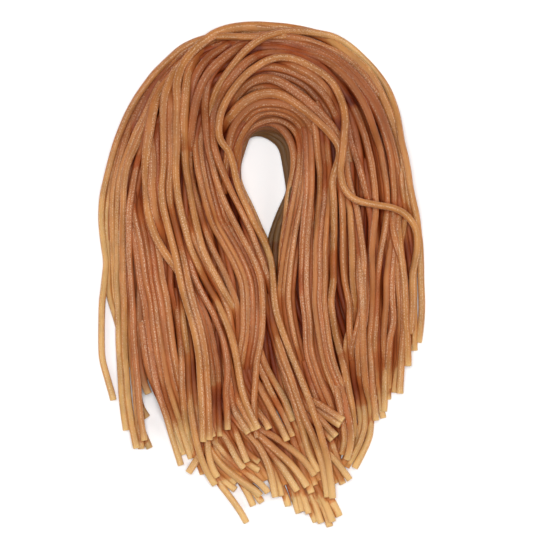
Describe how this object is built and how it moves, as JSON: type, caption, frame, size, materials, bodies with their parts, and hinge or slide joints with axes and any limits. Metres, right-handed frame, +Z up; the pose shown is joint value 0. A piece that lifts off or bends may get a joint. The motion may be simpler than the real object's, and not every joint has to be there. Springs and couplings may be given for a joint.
{
  "type": "bundle of dry rice noodles",
  "caption": "Bundle of thick dry rice noodles folded over once, with an eye-shaped hole through the fold and the cut ends fanned out, lying flat.",
  "frame": {"origin": "middle of the bundle's outline seen from above, on the surface that it lies on", "axes": "+Y along the bundle from the cut ends to the fold, +Z up through its thickness, +X to the right as seen from above"},
  "size_m": [0.1092, 0.1662, 0.0196],
  "materials": {
    "rice_noodle": "dry starch noodle, brownish gold, satin and slightly see-through, with fine lines along it"
  },
  "bodies": {
    "root": {"noodle_bundle": "rice_noodle"}
  },
  "joints": []
}
